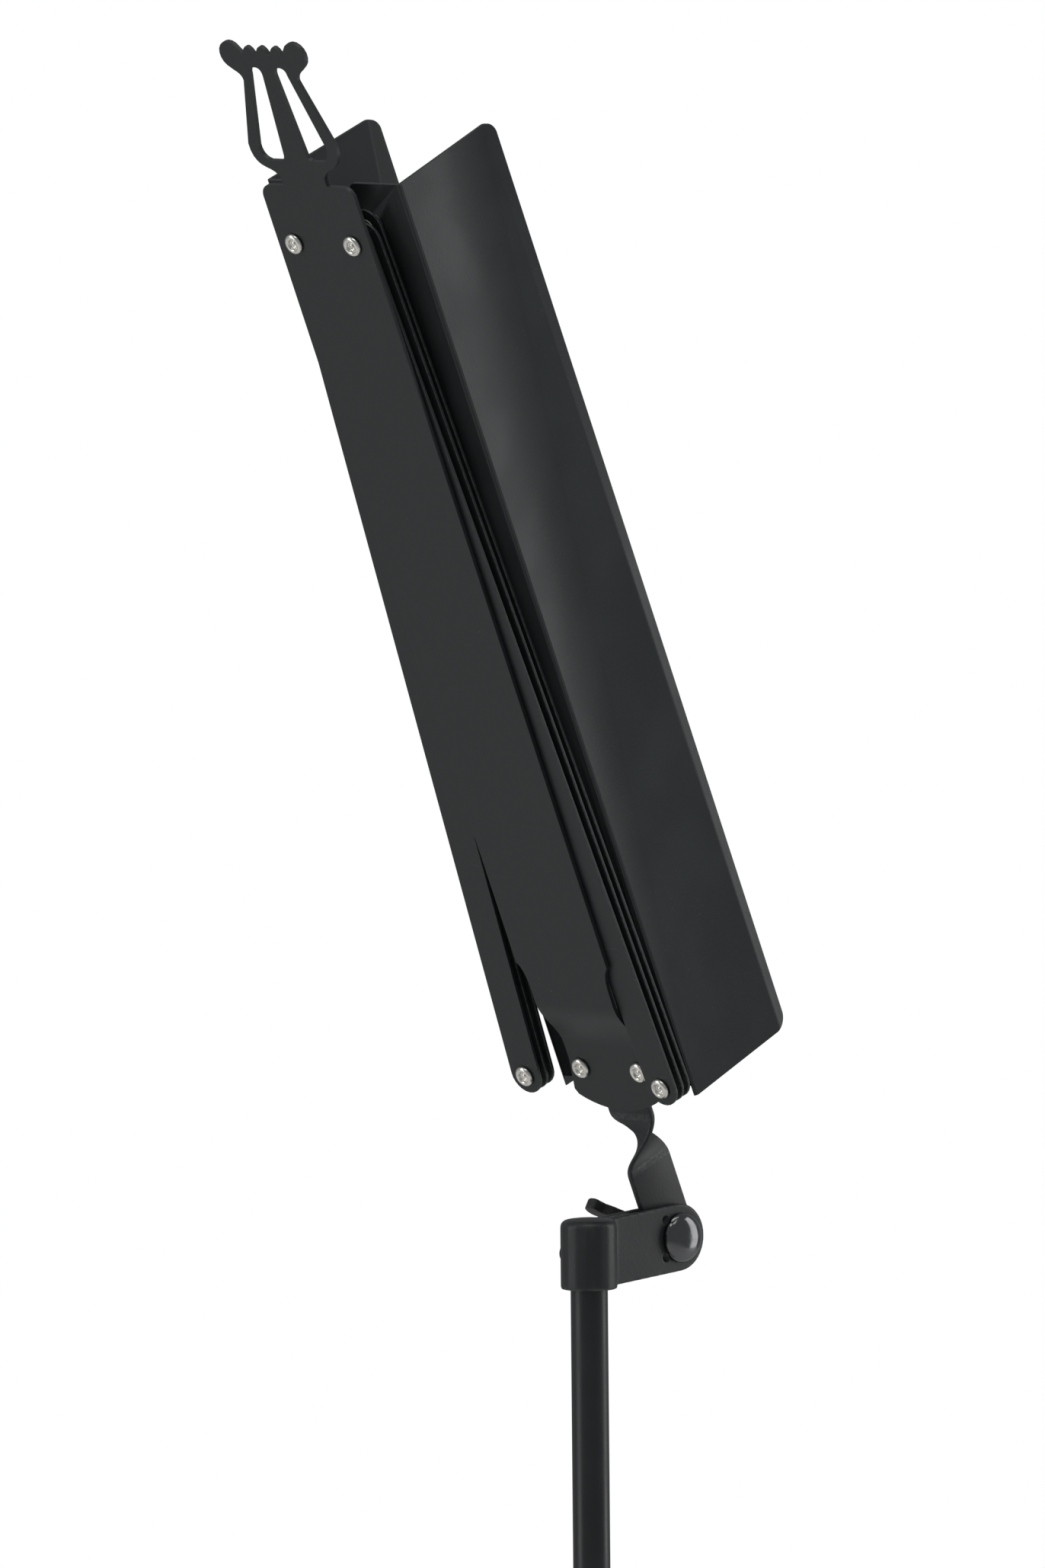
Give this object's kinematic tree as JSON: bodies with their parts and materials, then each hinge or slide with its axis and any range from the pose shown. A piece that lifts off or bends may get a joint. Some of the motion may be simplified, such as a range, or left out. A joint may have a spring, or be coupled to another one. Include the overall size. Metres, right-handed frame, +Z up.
{
  "type": "folding music stand",
  "caption": "Folding sheet-steel music desk with a lyre-shaped top, hinged slats and L-shaped ledges, on a tilt clamp, telescopic pole and folding tripod.",
  "frame": {"origin": "middle of the footprint box, on the floor", "axes": "+Z up the pole, the desk faces -Y, +X towards the player's right"},
  "size_m": [0.581, 0.5032, 1.0719],
  "materials": {
    "black_powder_coat": "satin",
    "rivet_nickel": "polished",
    "bolt_chrome": "polished",
    "black_plastic": "matt",
    "foot_rubber": "matt"
  },
  "bodies": {
    "base": {"lower_tube": "black_powder_coat", "tube_end_plug": "black_plastic", "lower_lock_collar": "black_powder_coat", "tripod_hub": "black_powder_coat", "hub_pin_1": "rivet_nickel", "hub_pin_2": "rivet_nickel", "hub_pin_3": "rivet_nickel"},
    "tripod_slider": {"tripod_collar": "black_powder_coat", "collar_pin_1": "rivet_nickel", "collar_pin_2": "rivet_nickel", "collar_pin_3": "rivet_nickel"},
    "tripod_screw": {"tripod_thumb_screw": "black_plastic"},
    "leg_1": {"leg_1": "black_powder_coat", "foot_1": "foot_rubber", "leg_rivet_1": "rivet_nickel"},
    "leg_2": {"leg_2": "black_powder_coat", "foot_2": "foot_rubber", "leg_rivet_2": "rivet_nickel"},
    "leg_3": {"leg_3": "black_powder_coat", "foot_3": "foot_rubber", "leg_rivet_3": "rivet_nickel"},
    "brace_1": {"brace_1": "black_powder_coat", "brace_rivet_1": "rivet_nickel"},
    "brace_2": {"brace_2": "black_powder_coat", "brace_rivet_2": "rivet_nickel"},
    "brace_3": {"brace_3": "black_powder_coat", "brace_rivet_3": "rivet_nickel"},
    "lower_screw": {"lower_thumb_screw": "black_plastic"},
    "middle_stage": {"middle_tube": "black_powder_coat", "middle_lock_collar": "black_powder_coat"},
    "middle_screw": {"middle_thumb_screw": "black_plastic"},
    "upper_stage": {"upper_tube": "black_powder_coat", "clamp_head": "black_powder_coat", "cap_rivet": "black_powder_coat", "tilt_bolt": "bolt_chrome", "washer": "bolt_chrome"},
    "wing_nut": {"wing_nut": "black_plastic"},
    "desk": {"centre_plate": "black_powder_coat", "tilt_strap": "black_powder_coat", "top_rivet_left": "rivet_nickel", "top_rivet_right": "rivet_nickel", "bottom_rivet_left": "rivet_nickel", "bottom_rivet_right": "rivet_nickel", "bottom_spacer_left": "rivet_nickel", "bottom_spacer_right": "rivet_nickel"},
    "ledge_left": {"ledge_left": "black_powder_coat", "ledge_end_rivet_left": "rivet_nickel"},
    "arm_left": {"upper_arm_left": "black_powder_coat", "arm_end_rivet_left": "rivet_nickel"},
    "side_left": {"side_slat_left": "black_powder_coat", "side_slat_rivet_left": "rivet_nickel"},
    "page_left": {"page_slat_left": "black_powder_coat"},
    "ledge_right": {"ledge_right": "black_powder_coat", "ledge_end_rivet_right": "rivet_nickel"},
    "arm_right": {"upper_arm_right": "black_powder_coat", "arm_end_rivet_right": "rivet_nickel"},
    "side_right": {"side_slat_right": "black_powder_coat", "side_slat_rivet_right": "rivet_nickel"},
    "page_right": {"page_slat_right": "black_powder_coat"}
  },
  "joints": [
    {"name": "lower_pole_slide", "type": "slide", "parent": "base", "child": "middle_stage", "axis": [0, 0, 1], "range_m": [-0.12, 0.11]},
    {"name": "upper_pole_slide", "type": "slide", "parent": "middle_stage", "child": "upper_stage", "axis": [0, 0, 1], "range_m": [-0.14, 0.09]},
    {"name": "desk_tilt", "type": "hinge", "parent": "upper_stage", "child": "desk", "pos_m": [0, 0.04927, 0.74535], "axis": [1, 0, 0], "range_deg": [-30, 35]},
    {"name": "wing_nut_turn", "type": "hinge", "parent": "upper_stage", "child": "wing_nut", "pos_m": [0, 0.04927, 0.74535], "axis": [1, 0, 0], "continuous": true},
    {"name": "lower_screw_turn", "type": "hinge", "parent": "base", "child": "lower_screw", "pos_m": [0, 0.06109, 0.411], "axis": [0, -1, 0], "continuous": true},
    {"name": "middle_screw_turn", "type": "hinge", "parent": "middle_stage", "child": "middle_screw", "pos_m": [0, 0.06334, 0.564], "axis": [0, -1, 0], "continuous": true},
    {"name": "tripod_screw_turn", "type": "hinge", "parent": "tripod_slider", "child": "tripod_screw", "pos_m": [0, 0.10059, 0.1913], "axis": [0, 1, 0], "continuous": true},
    {"name": "tripod_fold", "type": "slide", "parent": "base", "child": "tripod_slider", "axis": [0, 0, 1], "range_m": [0, 0.1483]},
    {"name": "leg_1_fold", "type": "hinge", "parent": "tripod_slider", "child": "leg_1", "pos_m": [0, 0.06227, 0.183], "axis": [1, 0, 0], "range_deg": [0, 54]},
    {"name": "leg_2_fold", "type": "hinge", "parent": "tripod_slider", "child": "leg_2", "pos_m": [0.0162, 0.09032, 0.183], "axis": [-0.5, 0.866, 0], "range_deg": [0, 54]},
    {"name": "leg_3_fold", "type": "hinge", "parent": "tripod_slider", "child": "leg_3", "pos_m": [-0.0162, 0.09032, 0.183], "axis": [-0.5, -0.866, 0], "range_deg": [0, 54]},
    {"name": "brace_1_fold", "type": "hinge", "parent": "base", "child": "brace_1", "pos_m": [0, 0.06227, 0.033], "axis": [-1, 0, 0], "range_deg": [0, 54]},
    {"name": "brace_2_fold", "type": "hinge", "parent": "base", "child": "brace_2", "pos_m": [0.0162, 0.09032, 0.033], "axis": [0.5, -0.866, 0], "range_deg": [0, 54]},
    {"name": "brace_3_fold", "type": "hinge", "parent": "base", "child": "brace_3", "pos_m": [-0.0162, 0.09032, 0.033], "axis": [0.5, 0.866, 0], "range_deg": [0, 54]},
    {"name": "ledge_left_fold", "type": "hinge", "parent": "desk", "child": "ledge_left", "pos_m": [-0.011, 0.07684, 0.78995], "axis": [0, -0.9171, 0.3987], "range_deg": [0, 90]},
    {"name": "arm_left_fold", "type": "hinge", "parent": "desk", "child": "arm_left", "pos_m": [-0.011, 0.17573, 1.01739], "axis": [0, 0.9171, -0.3987], "range_deg": [0, 88.7]},
    {"name": "side_left_fold", "type": "hinge", "parent": "arm_left", "child": "side_left", "pos_m": [-0.02149, 0.07593, 0.78786], "axis": [0, -0.9171, 0.3987], "range_deg": [0, 271.2]},
    {"name": "page_left_swing", "type": "hinge", "parent": "arm_left", "child": "page_left", "pos_m": [-0.02149, 0.07593, 0.78786], "axis": [0, -0.9171, 0.3987], "range_deg": [0, 180]},
    {"name": "ledge_right_fold", "type": "hinge", "parent": "desk", "child": "ledge_right", "pos_m": [0.011, 0.07684, 0.78995], "axis": [0, 0.9171, -0.3987], "range_deg": [0, 90]},
    {"name": "arm_right_fold", "type": "hinge", "parent": "desk", "child": "arm_right", "pos_m": [0.011, 0.17573, 1.01739], "axis": [0, -0.9171, 0.3987], "range_deg": [0, 86.8]},
    {"name": "side_right_fold", "type": "hinge", "parent": "arm_right", "child": "side_right", "pos_m": [0.02978, 0.07613, 0.78831], "axis": [0, 0.9171, -0.3987], "range_deg": [0, 271.2]},
    {"name": "page_right_swing", "type": "hinge", "parent": "arm_right", "child": "page_right", "pos_m": [0.02978, 0.07613, 0.78831], "axis": [0, 0.9171, -0.3987], "range_deg": [0, 180]}
  ],
  "couplings": [
    {"joint": "leg_1_fold", "follows": "tripod_fold", "rad_per_m": 6.3528},
    {"joint": "leg_2_fold", "follows": "tripod_fold", "rad_per_m": 6.3528},
    {"joint": "leg_3_fold", "follows": "tripod_fold", "rad_per_m": 6.3528},
    {"joint": "brace_1_fold", "follows": "tripod_fold", "rad_per_m": 6.3528},
    {"joint": "brace_2_fold", "follows": "tripod_fold", "rad_per_m": 6.3528},
    {"joint": "brace_3_fold", "follows": "tripod_fold", "rad_per_m": 6.3528},
    {"joint": "arm_left_fold", "follows": "ledge_left_fold", "ratio": 0.98476},
    {"joint": "side_left_fold", "follows": "ledge_left_fold", "ratio": 3.0124},
    {"joint": "arm_right_fold", "follows": "ledge_right_fold", "ratio": 0.96364},
    {"joint": "side_right_fold", "follows": "ledge_right_fold", "ratio": 3.0122}
  ]
}
